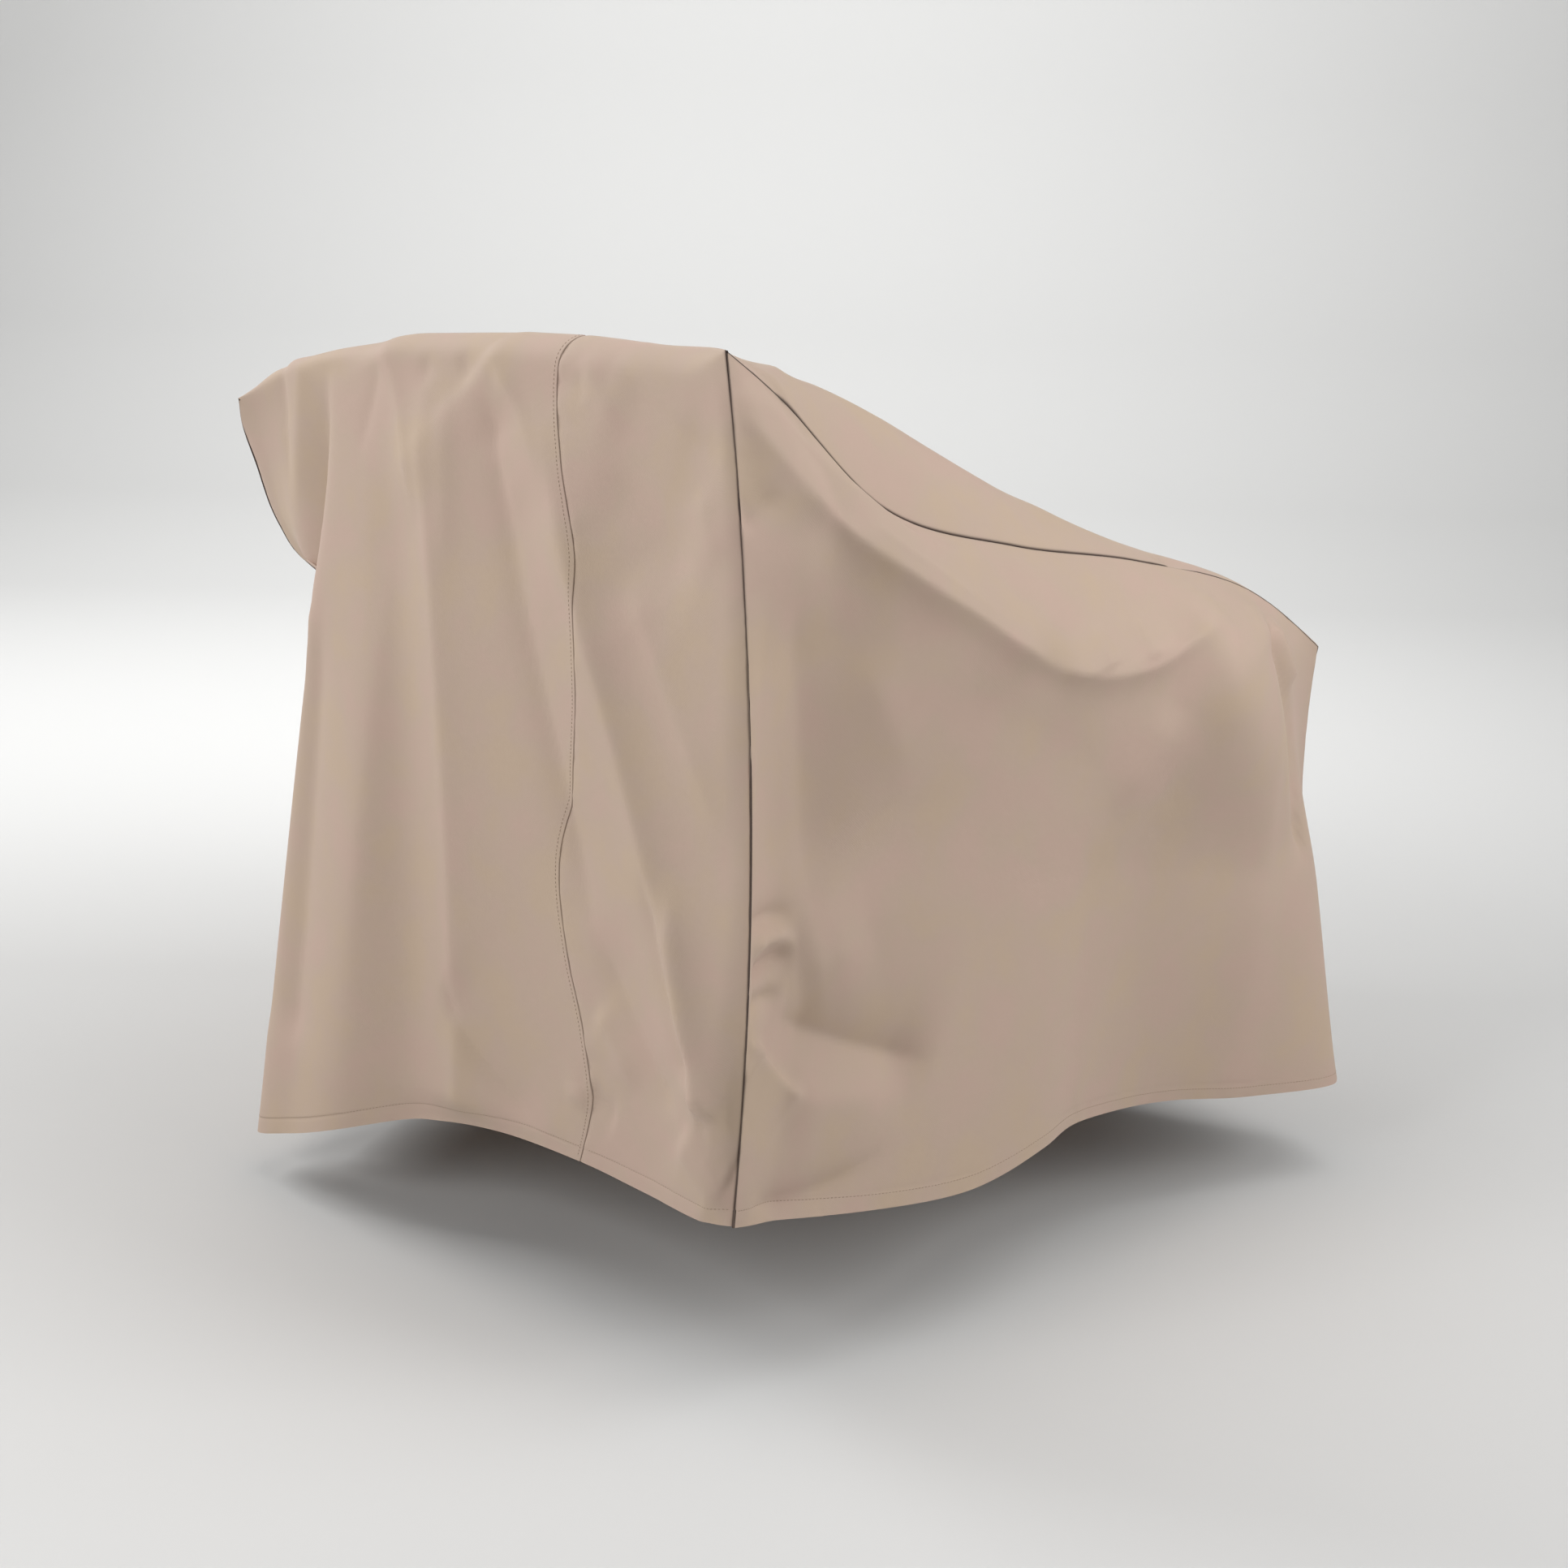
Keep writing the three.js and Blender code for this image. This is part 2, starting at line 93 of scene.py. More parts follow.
def hang_softbox(name, place, facing, side, watts):
    lamp = bpy.data.lights.new(name, "AREA")
    lamp.size = side
    lamp.energy = watts
    softbox = bpy.data.objects.new(name, lamp)
    softbox.location = place
    softbox.rotation_euler = facing.to_track_quat("-Z", "Y").to_euler()
    bpy.context.scene.collection.objects.link(softbox)


for name, turn, rise, distance, side, watts in LIGHTS:
    turn, rise = math.radians(turn), math.radians(rise)
    level = towards_eye * math.cos(turn) + to_right * math.sin(turn)
    away = level * math.cos(rise) + Vector((0, 0, math.sin(rise)))
    hang_softbox(name, LIGHT_AIM + away * distance, -away, side, watts)
PAPER_LIGHT_BEHIND, PAPER_LIGHT_UP, PAPER_LIGHT_SIDE = 1.3, 2.3, 2.2  # m
PAPER_LIGHT_DROOP = 0.25  # how far it leans down for each metre forward
PAPER_WATTS = 110
hang_softbox(
    "paper_softbox",
    LIGHT_AIM - towards_eye * PAPER_LIGHT_BEHIND + Vector((0, 0, PAPER_LIGHT_UP)),
    -towards_eye - Vector((0, 0, PAPER_LIGHT_DROOP)),
    PAPER_LIGHT_SIDE,
    PAPER_WATTS,
)
air = bpy.data.worlds.new("studio_air")
air.use_nodes = True
air.node_tree.nodes["Background"].inputs["Color"].default_value = (1, 1, 1, 1)
air.node_tree.nodes["Background"].inputs["Strength"].default_value = AIR_LIGHT
bpy.context.scene.world = air


def linear(code):
    """Linear colour of a hex code such as #c8b09c."""
    parts = [int(code[i : i + 2], 16) / 255 for i in (1, 3, 5)]
    return [*(p / 12.92 if p <= 0.04045 else ((p + 0.055) / 1.055) ** 2.4 for p in parts), 1]


def new_material(name):
    material = bpy.data.materials.new(name)
    material.use_nodes = True
    return material, material.node_tree, material.node_tree.nodes["Principled BSDF"]


def mesh_object(name, points, faces, material):
    mesh = bpy.data.meshes.new(name)
    mesh.from_pydata(np.asarray(points).tolist(), [], np.asarray(faces).tolist())
    mesh.materials.append(material)
    mesh.shade_smooth()
    piece = bpy.data.objects.new(name, mesh)
    bpy.context.scene.collection.objects.link(piece)
    return piece


# Matt white paper, a little grey, so that it shows nothing but the fall of the light
PAPER_WHITE = "#d6d6d5"
SWEEP = [  # m back from the cover, m up
    (-6.0, 0.0), (3.0, 0.0), (3.7, 0.08), (4.3, 0.4), (4.7, 1.0), (4.9, 1.8), (4.9, 4.5),
]
SWEEP_HALF_WIDTH = 6.0
paper, tree, shader = new_material("matt_white_background_paper")
shader.inputs["Base Color"].default_value = linear(PAPER_WHITE)
shader.inputs["Roughness"].default_value = 0.9
foot = Vector((LIGHT_AIM.x, LIGHT_AIM.y, -FRAME_ORIGIN[2] / 1000))
points = [
    foot - towards_eye * back + to_right * side + Vector((0, 0, up))
    for back, up in SWEEP
    for side in (-SWEEP_HALF_WIDTH, SWEEP_HALF_WIDTH)
]
faces = [(i, i + 1, i + 3, i + 2) for i in range(0, len(points) - 2, 2)]
sweep = mesh_object("paper_sweep", points, faces, paper)
sweep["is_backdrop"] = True

# Centre strip: one run of cloth from the back hem over the top and down to the front hem, 838 mm wide, of a
# narrow and a wide length joined by a lapped seam. Its back hangs in long folds from the rim, its top sags
# between the arms, and its far top corner stands out as a point where nothing holds it.
STRIP_WIDTH = 838
# Shares of the strip's width: where the ply seam and the arms' ridges lie, and how far a shift is felt
PLY_SEAM = 0.304
NEAR_RIDGE, FAR_RIDGE = 0.085, 0.83
WANDER_REACH, FAR_EDGE_REACH = 0.09, 0.13


def rows(names, table):
    return {name: np.array(column, float) for name, column in zip(names.split(), zip(*table))}


# The back by u, the share of the strip's width from the near seam, in mm from the floor. Mid is halfway
# down, and roll is the height over which the cloth turns over the rim.
BACK = rows("u topX topY topZ midX midY hemX hemY hemZ roll", [
    [0.0, -333, 385, 971, -402, 407, -394, 412, 187, 0],
    [0.05, -290, 384, 967, -356, 403, -352, 412, 180, 22],
    [0.15, -212, 383, 961, -268, 396, -256, 403, 171, 26],
    [0.304, -98, 383, 957, -134, 398, -150, 399, 165, 26],
    [0.45, 30, 383, 946, -10, 400, -16, 402, 153, 24],
    [0.57, 131, 384, 934, 84, 401, 72, 410, 137, 22],
    [0.64, 183, 385, 926, 143, 402, 126, 420, 124, 20],
    [0.71, 234, 385, 915, 202, 418, 200, 460, 98, 17],
    [0.8, 308, 385, 900, 288, 418, 288, 466, 66, 13],
    [0.89, 388, 385, 879, 358, 411, 364, 462, 46, 12],
    [0.94, 436, 385, 862, 374, 375, 379, 428, 52, 12],
    [1.0, 494, 385, 829, 380, 338, 368, 395, 66, 0],
])
# The top by w, from the back rim to the front one: both its edges and both arms' ridges, with its sag between
SEAT = rows("w nearX nearY nearZ ridgeX ridgeY ridgeZ sag farRidgeX farRidgeZ farX farY farZ", [
    [0.1, -333, 324, 926, -288, 285, 938, 40, 262, 912, 490, 300, 800],
    [0.27, -345, 206, 818, -286, 200, 902, 90, 270, 890, 440, 190, 765],
    [0.46, -345, 37, 765, -286, 15, 815, 130, 262, 808, 400, 30, 700],
    [0.65, -338, -143, 729, -286, -152, 742, 130, 258, 744, 395, -140, 660],
    [0.84, -333, -325, 676, -286, -330, 681, 110, 258, 688, 420, -310, 620],
    [1.0, -328, -453, 597, -284, -432, 624, 60, 262, 626, 480, -445, 560],
])
FRONT = rows("u midX midY hemX hemY hemZ roll", [
    [0.0, -318, -462, -338, -500, 106, 0],
    [0.05, -288, -483, -302, -512, 104, 22],
    [0.25, -150, -458, -160, -455, 98, 30],
    [0.45, 20, -475, 10, -500, 92, 30],
    [0.65, 190, -452, 190, -450, 84, 30],
    [0.85, 340, -468, 350, -486, 78, 24],
    [1.0, 440, -440, 425, -440, 70, 0],
])
# The ply seam wanders sideways by height, and the strip's far edge stands out below the rim, then falls back
WANDER = rows("z shift", [
    [170, 0], [240, -22], [300, -14], [380, 10], [460, 20], [550, -2],
    [640, -27], [760, -33], [850, 0], [910, 12], [957, 2],
])
FAR_EDGE = rows("z shift", [
    [60, -8], [260, 0], [400, -16], [507, -40], [575, -60], [620, -72], [640, -62],
    [666, 0], [690, 18], [760, 21], [800, 14], [835, -8], [870, 0],
])

# A fold runs from (a0, b0) to (a1, b1), a across the panel and b up it, or forward on the top, and bows aside
# by bow. High is its ridge's height, or a trough's depth when negative, and soft its crest's rounding; left
# and right are its flanks' widths, and over easeIn and easeOut of its length it grows and fades.
FOLD = "a0 b0 a1 b1 bow high left right soft easeIn easeOut"
BACK_FOLDS = rows(FOLD, [
    [126, 930, 36, 140, 26, 18, 52, 60, 7, 0.16, 0.05],
    [204, 928, 118, 740, 20, 9, 40, 30, 3, 0.12, 0.4],
    [160, 790, 192, 110, -12, 7, 42, 44, 8, 0.35, 0.5],
    [-36, 934, -420, 190, 12, 27, 105, 38, 6, 0.28, 0.24],
    [24, 938, -104, 800, 8, 8, 60, 14, 3, 0.12, 0.5],
    [24, 905, -194, 372, -4, -12, 22, 52, 3, 0.1, 0.25],
    [-172, 420, -326, 262, -8, -8, 16, 34, 3, 0.3, 0.2],
    [-150, 846, -318, 752, 8, -6, 60, 22, 8, 0.3, 0.3],
    [-205, 764, -384, 520, 6, 11, 34, 60, 5, 0.2, 0.4],
    [-176, 938, -344, 870, -4, -7, 40, 20, 4, 0.25, 0.35],
    [-172, 950, -330, 880, 0, 6, 50, 12, 3, 0.3, 0.4],
    [-122, 944, -196, 878, 0, 4, 40, 12, 3, 0.3, 0.4],
    [300, 905, 348, 612, 2, -28, 62, 9, 3, 0.6, 0.12],
    [352, 890, 382, 712, 0, 5, 30, 30, 4, 0.1, 0.4],
    [398, 885, 398, 730, 0, -4, 14, 10, 2, 0.1, 0.4],
    [300, 640, 302, 150, 0, -7, 34, 22, 6, 0.2, 0.1],
    [62, 300, -96, 176, -24, -9, 10, 40, 2, 0.2, 0.3],
    [-262, 500, -356, 306, -4, -10, 14, 22, 3, 0.3, 0.15],
    [-298, 506, -392, 268, -4, 11, 22, 14, 3, 0.3, 0.15],
    [-318, 262, -388, 196, 0, 7, 30, 16, 4, 0.3, 0.2],
])
SEAT_FOLDS = rows(FOLD, [
    [-235, 250, -40, -60, 14, 7, 40, 40, 20, 0.3, 0.4],
    [240, 240, 70, -90, -14, 8, 40, 40, 20, 0.3, 0.4],
    [-200, -400, -40, -120, 10, 7, 36, 36, 20, 0.3, 0.4],
    [190, -400, 60, -150, -10, 8, 36, 36, 20, 0.3, 0.4],
    [10, 320, 20, 60, 8, -7, 44, 44, 20, 0.2, 0.4],
])
FRONT_FOLDS = rows(FOLD, [
    [-205, 590, -190, 100, 8, 13, 34, 34, 14, 0.3, 0.1],
    [-45, 550, -65, 95, -6, -11, 36, 36, 18, 0.3, 0.1],
    [120, 560, 135, 90, 8, 13, 34, 40, 14, 0.3, 0.1],
    [290, 580, 275, 80, 6, -11, 34, 34, 18, 0.3, 0.1],
])
# Creases are the small ones: dimples under the rim, pulls from the seams, dents from storage
BACK_CREASES = rows(FOLD, [
    [126, 920, 112, 884, 0, -2.5, 6, 9, 3, 0.4, 0.5],
    [70, 928, 44, 896, 0, -2.5, 7, 9, 3, 0.4, 0.5],
    [22, 932, -10, 892, 0, -2.5, 8, 10, 3, 0.4, 0.5],
    [196, 905, 238, 790, 0, -2.5, 12, 10, 3, 0.2, 0.5],
    [84, 900, 58, 700, 6, 4, 20, 16, 6, 0.3, 0.4],
    [10, 860, -60, 783, 0, 3, 16, 14, 6, 0.3, 0.4],
    [-120, 926, -136, 902, 0, -2, 9, 9, 4, 0.2, 0.4],
    [-300, 850, -345, 780, 0, 3, 18, 14, 6, 0.3, 0.4],
    [-129, 232, -165, 237, 0, 4, 8, 10, 4, 0.3, 0.3],
    [-165, 248, -213, 225, 0, -5, 12, 12, 4, 0.3, 0.3],
    [-183, 337, -256, 272, 0, 6, 16, 12, 5, 0.2, 0.4],
    [-351, 300, -386, 312, 0, 5, 10, 8, 4, 0.3, 0.2],
    [-357, 278, -386, 290, 0, -5, 8, 8, 3, 0.3, 0.2],
    [-330, 268, -392, 232, 0, 7, 30, 14, 4, 0.3, 0.1],
])
SEAT_CREASES = rows(FOLD, [
    [-330, 330, -250, 260, 0, 5, 16, 12, 5, 0.1, 0.5],
    [-300, 150, -275, -60, 6, -4, 14, 12, 6, 0.3, 0.3],
    [-338, -190, -300, -230, 0, -6, 8, 14, 3, 0.1, 0.4],
    [60, 60, -60, -40, 10, 4, 18, 18, 8, 0.3, 0.3],
    [120, -260, 200, -380, 8, 4, 18, 18, 8, 0.3, 0.3],
])
FRONT_CREASES = rows(FOLD, [
    [-320, 570, -250, 430, 6, 5, 16, 12, 5, 0.1, 0.4],
    [380, 520, 300, 360, -6, 5, 16, 12, 5, 0.1, 0.4],
    [-120, 330, 20, 270, 10, 4, 18, 12, 6, 0.3, 0.4],
])


def ease(t):
    t = np.clip(t, 0, 1)
    return t * t * (3 - 2 * t)


def through(at, values, t):
    """Smooth curve at t through values, numbers or points, whose places at may be unevenly spaced."""
    vectors = np.shape(values[0])[-1:] == (3,)
    wide = (lambda x: x[..., None]) if vectors else (lambda x: x)
    at = [np.broadcast_to(a, np.shape(t)) for a in at]
    steps = [wide(b - a) for a, b in zip(at, at[1:])]
    rises = [(b - a) / s for a, b, s in zip(values, values[1:], steps)]
    inner = [
        (before * next_step + after * step) / (step + next_step)
        for before, after, step, next_step in zip(rises, rises[1:], steps, steps[1:])
    ]
    slope = [1.5 * rises[0] - 0.5 * inner[0], *inner, 1.5 * rises[-1] - 0.5 * inner[-1]]
    result = 0
    for i, step in enumerate(steps):
        s = wide(t - at[i]) / step
        blend = s * s * (3 - 2 * s)
        bulge = step * s * (1 - s) * (slope[i] * (1 - s) - slope[i + 1] * s)
        after = t >= at[i] if i else np.ones(np.shape(t), bool)
        before = t < at[i + 1] if i < len(steps) - 1 else np.ones(np.shape(t), bool)
        stretch = values[i] * (1 - blend) + values[i + 1] * blend + bulge
        result = result + np.where(wide(after & before), stretch, 0)
    return result


def station(table, place, t):
    return {name: through(table[place], table[name], t) for name in table if name != place}


def point(x, y, z):
    return np.stack(np.broadcast_arrays(x, y, z), -1)


def hang(hem, mid, top, v):
    """Hanging line from hem (v = 0) by mid (v = 0.5) to top (v = 1)."""
    return hem * (1 - v) * (1 - 2 * v) + 4 * mid * v * (1 - v) + top * v * (2 * v - 1)


def turn_over(z, top_z, roll):
    """How far the cloth has come over at height z as it rounds a rim."""
    roll = np.maximum(roll, 0.01)
    q = np.clip((z - top_z + roll) / roll, 0, 1)
    return roll * (1 - np.sqrt(1 - q * q))


def back_surface(u, v):
    s = station(BACK, "u", u)
    z = s["hemZ"] + (s["topZ"] - s["hemZ"]) * v
    wander = np.exp(-(((u - PLY_SEAM) / WANDER_REACH) ** 2)) * through(WANDER["z"], WANDER["shift"], z)
    far_edge = np.exp(-(((u - 1) / FAR_EDGE_REACH) ** 2)) * through(FAR_EDGE["z"], FAR_EDGE["shift"], z)
    x = hang(s["hemX"], s["midX"], s["topX"], v) + wander + far_edge
    return point(x, hang(s["hemY"], s["midY"], s["topY"], v) - turn_over(z, s["topZ"], s["roll"]), z)


def seat_section(i, u):
    """The top's line from side to side at row i: edge, arm, sag, arm, edge."""
    r = {name: column[i] for name, column in SEAT.items()}
    span, rise = r["farRidgeX"] - r["ridgeX"], r["farRidgeZ"] - r["ridgeZ"]
    places = [0, NEAR_RIDGE]
    points = [point(r["nearX"], r["nearY"], r["nearZ"]), point(r["ridgeX"], r["ridgeY"], r["ridgeZ"])]
    for t, share in ((0.25, 0.7), (0.5, 1), (0.75, 0.7)):
        places.append(NEAR_RIDGE + (FAR_RIDGE - NEAR_RIDGE) * t)
        points.append(point(r["ridgeX"] + span * t, r["ridgeY"], r["ridgeZ"] + rise * t - r["sag"] * share))
    places += [FAR_RIDGE, 1]
    points += [point(r["farRidgeX"], r["ridgeY"], r["farRidgeZ"]), point(r["farX"], r["farY"], r["farZ"])]
    return through(places, points, u)


def seat_surface(u, w):
    sections = [seat_section(i, u) for i in range(len(SEAT["w"]))]
    return through([0, *SEAT["w"]], [back_surface(u, np.ones_like(u)), *sections], w)


def front_surface(u, v):
    rim = seat_surface(u, np.ones_like(u))
    s = station(FRONT, "u", u)
    z = s["hemZ"] + (rim[..., 2] - s["hemZ"]) * v
    y = hang(s["hemY"], s["midY"], rim[..., 1] - s["roll"], v) + turn_over(z, rim[..., 2], s["roll"])
    return point(hang(s["hemX"], s["midX"], rim[..., 0], v), y, z)


def relief(folds, a, b):
    """Height of the folds over the smooth cloth."""
    total = np.zeros_like(a)
    for values in zip(*folds.values()):
        f = dict(zip(folds, values))
        da, db = f["a1"] - f["a0"], f["b1"] - f["b0"]
        length = math.hypot(da, db)
        t = ((a - f["a0"]) * da + (b - f["b0"]) * db) / length**2
        off = ((a - f["a0"]) * db - (b - f["b0"]) * da) / length - f["bow"] * 4 * t * (1 - t)
        away = np.hypot(off, f["soft"]) - f["soft"]
        ends = ease(t / f["easeIn"]) * ease((1 - t) / f["easeOut"])
        total += f["high"] * ends * np.exp(-away / np.where(off < 0, f["left"], f["right"]))
    return total


SEAM_CALM = 0.035  # share of a panel's width over which its folds die out towards a seam


def seam_calm(t):
    return ease(t / SEAM_CALM) * ease((1 - t) / SEAM_CALM)


def unit(vectors):
    return vectors / np.maximum(np.linalg.norm(vectors, axis=-1, keepdims=True), 1e-9)


def normals_of(grid, outwards):
    """Unit normals of a grid of points, its first index across and its second along."""
    return outwards * unit(np.cross(np.gradient(grid, axis=0), np.gradient(grid, axis=1)))


def lengths_along(grid, axis):
    """Distance of each grid point from the grid's first edge, along an axis."""
    steps = np.linalg.norm(np.diff(grid, axis=axis), axis=-1)
    start = np.zeros_like(steps[:1] if axis == 0 else steps[:, :1])
    return np.concatenate([start, np.cumsum(steps, axis)], axis)


# Rows of the grid close up at a seam, at a hem with its stitching and over a rim, all in mm from the edge
SEAM_ROWS = [0, 0.35, 0.8, 1.4, 2.1, 3, 4.2, 5, 6.4, 8.6, 11.8]
HEM_ROWS = [0, 0.8, 3, 7, 11, 14.5, 16.2, 17, 17.8, 19.5, 23]
RIM_ROWS = [0, 0.5, 2, 4.6, 8, 12.2, 17, 22.4, 28]
HEM_STITCH_ROW, SEAM_STITCH_ROW = HEM_ROWS.index(17), SEAM_ROWS.index(5)
DROP_LENGTH, TOP_LENGTH = 790, 860  # mm, a round length of each for the rows' spacing


def spread(length, step, start=(0,), end=(0,)):
    """Shares of a length, a step apart between the close rows at its start and end."""
    first, last = np.array(start) / length, 1 - np.array(end[::-1]) / length
    count = round((last[0] - first[-1]) * length / step)
    return np.concatenate([first, np.linspace(first[-1], last[0], count + 1)[1:-1], last])


def strip_surface(shares, drop, top):
    """Smooth grid of the strip, hem over top to hem, with the columns at which its top starts and ends."""
    u, v = np.meshgrid(shares, drop, indexing="ij")
    back, front = back_surface(u, v), front_surface(u, v[:, ::-1])
    u, w = np.meshgrid(shares, top, indexing="ij")
    grid = np.concatenate([back, seat_surface(u, w)[:, 1:], front[:, 1:]], 1)
    return grid, len(drop), len(drop) + len(top) - 1


# At a corner seam both panels turn in between the two; along the near arm they meet in a valley
CORNER_TURN, NEAR_ARM_TURN, FAR_ARM_TURN = 1, -0.45, 0.6
TURN_CHANGE = 0.09  # share of the top's length over which one turn becomes the other
SEAM_PROBE = 0.01  # share of the strip's width, as a step for its slope at the seam


def side_seam(seam_u, into, drop, top, arm_turn):
    """Way in at each point of a side seam, hem to hem, as both of its panels' edges are turned in."""
    grid, _, _ = strip_surface(seam_u + into * SEAM_PROBE * np.arange(3), drop, top)
    normals = normals_of(grid, -into)[0]
    across = unit(grid[1] - grid[0])
    near_end = ease(np.minimum(top, 1 - top) / TURN_CHANGE)
    on_top = CORNER_TURN + (arm_turn - CORNER_TURN) * near_end
    on_drop = np.full(len(drop) - 1, CORNER_TURN)
    turn = np.concatenate([on_drop, on_top, on_drop])
    return unit(-normals + turn[:, None] * across)


def roll_in(distance, radius):
    """Depth of a panel's edge where it curls into its seam: a quarter round, then as far straight down."""
    over = np.clip(radius - distance, 0, radius)
    return radius - np.sqrt(radius**2 - over**2) + radius * ease(1 - distance / SEAM_ROWS[1])


def round_off(distance, reach, depth):
    return depth * np.clip(1 - distance / reach, 0, 1) ** 2


# Painted shadow: how dark a seam's slit is coloured, fading with distance from the seam
def painted_slit_shadow(distance, seam):
    reach, strength = seam
    return strength * np.exp(-((distance / reach) ** 2))


PUCKER_RISE = 1.5  # mm from the seam within which its pulls begin


def puckers(along, distance, seed, pitch, high, reach):
    """Small pulls that a seam's thread makes in the cloth, square to it and of uneven size."""
    chance = np.random.default_rng(seed)
    total = np.zeros_like(along)
    place = along.min() + pitch * chance.uniform(0.2, 1)
    while place < along.max():
        width = pitch * chance.uniform(0.12, 0.3)
        tall = high * chance.uniform(-1, 1)
        far = reach * chance.uniform(0.4, 1.5)
        slant = chance.uniform(-0.5, 0.5)
        near = np.abs(along - place - slant * distance) < 4 * width
        off = (along[near] - place - slant * distance[near]) / width
        total[near] += tall * np.exp(-(off**2) - distance[near] / far)
        place += pitch * chance.uniform(0.5, 1.7)
    return total * (1 - np.exp(-distance / PUCKER_RISE))


CLOTH = 0.9  # mm, with its coating
HEM_CLOTH = 1.0  # mm more where the hem is doubled
HEM_WIDTH = 19
HEM_EDGE = 2  # mm over which a doubled hem thins to a single cloth
HEM_GROOVE, HEM_GROOVE_REACH = 0.5, 0.8  # mm that the hem's stitches pull in, and how far from their line
STITCHED_STIFF = 3  # mm beside a seam in which small creases die out
# mm from a seam that the shadow painted into its slit reaches, and that painted shadow's strength
CORNER_PAINTED_SHADOW, ARM_PAINTED_SHADOW, PLY_PAINTED_SHADOW = (2.0, 1.0), (1.2, 0.7), (0.5, 0.4)


def hem_groove(hem_distance):
    return HEM_GROOVE * np.exp(-(((hem_distance - HEM_ROWS[HEM_STITCH_ROW]) / HEM_GROOVE_REACH) ** 2))


def cloth_object(name, outer, outwards, hem_distance, shade, material):
    """Closed sheet on a grid of outer points in mm, with its cut's lengths as UV and the shadow painted along
    its seams.
    """
    across, along = outer.shape[:2]
    doubled = ease((HEM_WIDTH + HEM_EDGE / 2 - hem_distance) / HEM_EDGE)
    inner = outer - normals_of(outer, outwards) * (CLOTH + HEM_CLOTH * doubled)[..., None]
    index = np.arange(across * along).reshape(across, along)
    quads = np.stack([index[:-1, :-1], index[1:, :-1], index[1:, 1:], index[:-1, 1:]], -1).reshape(-1, 4)
    border = np.concatenate([index[:-1, 0], index[-1, :-1], index[:0:-1, -1], index[0, :0:-1]])
    after = np.roll(border, -1)
    lining = across * along
    edge = np.stack([border, border + lining, after + lining, after], -1)
    faces = np.concatenate([quads, quads[:, ::-1] + lining, edge])
    faces = faces if outwards > 0 else faces[:, ::-1]
    points = (np.concatenate([outer.reshape(-1, 3), inner.reshape(-1, 3)]) - FRAME_ORIGIN) / 1000
    piece = mesh_object(name, points, faces, material)
    mesh = piece.data
    cut = np.stack([lengths_along(outer, 0), lengths_along(outer, 1)], -1).reshape(-1, 2) / 1000
    loops = np.zeros(len(mesh.loops), np.int32)
    mesh.loops.foreach_get("vertex_index", loops)
    layer = mesh.uv_layers.new(name="cut_cloth")
    layer.data.foreach_set("uv", cut[loops % lining].astype(np.float32).ravel())
    attribute = mesh.attributes.new("painted_seam_shadow", "FLOAT", "POINT")
    attribute.data.foreach_set("value", np.concatenate([shade, shade], None).astype(np.float32))
    on_border = np.zeros(2 * lining, bool)
    on_border[border] = on_border[border + lining] = True
    ends = np.zeros(2 * len(mesh.edges), np.int32)
    mesh.edges.foreach_get("vertices", ends)
    ends = ends.reshape(-1, 2)
    sharp = on_border[ends].all(1) & ((ends[:, 0] < lining) == (ends[:, 1] < lining))
    mesh.attributes.new("sharp_edge", "BOOLEAN", "EDGE").data.foreach_set("value", sharp)
    return piece


def add_node(tree, kind, links=(), **settings):
    """One shader node; links give an input, a node and that node's output, settings a field or an input."""
    node = tree.nodes.new(kind)
    for name, value in settings.items():
        if hasattr(node, name):
            setattr(node, name, value)
        else:
            node.inputs[name.replace("_", " ")].default_value = value
    for target, source, output in links:
        tree.links.new(source.outputs[output], node.inputs[target])
    return node


# Dyed polyester, plain-woven of 0.5 mm yarns and coated inside: matt, with a faint bloom at grazing angles,
# a slightly uneven dye, a fine checked grain close up and, as painted shadow, a dark slit along each seam
DYE, DYE_YELLOWER, DYE_PINKER, PAINTED_SHADOW_COLOUR = "#bba594", "#bca691", "#bda495", "#33211a"
YARN = 0.0012  # m; the real yarns are 0.5 mm apart, drawn coarser so that they show
BLOTCHES, SLUBS = 14.0, 260.0  # to a metre: patches of dye 70 mm across, thick places in the yarn 4 mm long
weave, tree, shader = new_material("dyed_polyester_plain_weave")
place = add_node(tree, "ShaderNodeTexCoord")
cut_cloth = add_node(tree, "ShaderNodeUVMap", uv_map="cut_cloth")
blotch = add_node(tree, "ShaderNodeTexNoise", [("Vector", place, "Object")], Scale=BLOTCHES, Detail=3.0)
tone = add_node(tree, "ShaderNodeValToRGB", [("Fac", blotch, "Fac")])
tone.color_ramp.elements[0].position, tone.color_ramp.elements[0].color = 0.36, linear(DYE_YELLOWER)
tone.color_ramp.elements[1].position, tone.color_ramp.elements[1].color = 0.64, linear(DYE_PINKER)
tone.color_ramp.elements.new(0.5).color = linear(DYE)
# Painted shadow: along each seam the base colour is mixed towards a dark brown, so that the slit looks shaded
shade = add_node(tree, "ShaderNodeAttribute", attribute_name="painted_seam_shadow")
dye_and_painted_shadow = add_node(tree, "ShaderNodeMix", data_type="RGBA")
for socket in dye_and_painted_shadow.inputs:
    if socket.type == "RGBA" and socket.name == "B":
        socket.default_value = linear(PAINTED_SHADOW_COLOUR)
    if socket.type == "RGBA" and socket.name == "A":
        tree.links.new(tone.outputs["Color"], socket)
tree.links.new(shade.outputs["Fac"], dye_and_painted_shadow.inputs["Factor"])
tree.links.new([s for s in dye_and_painted_shadow.outputs if s.type == "RGBA"][0], shader.inputs["Base Color"])
shader.inputs["Roughness"].default_value = 0.75
shader.inputs["IOR"].default_value = 1.46
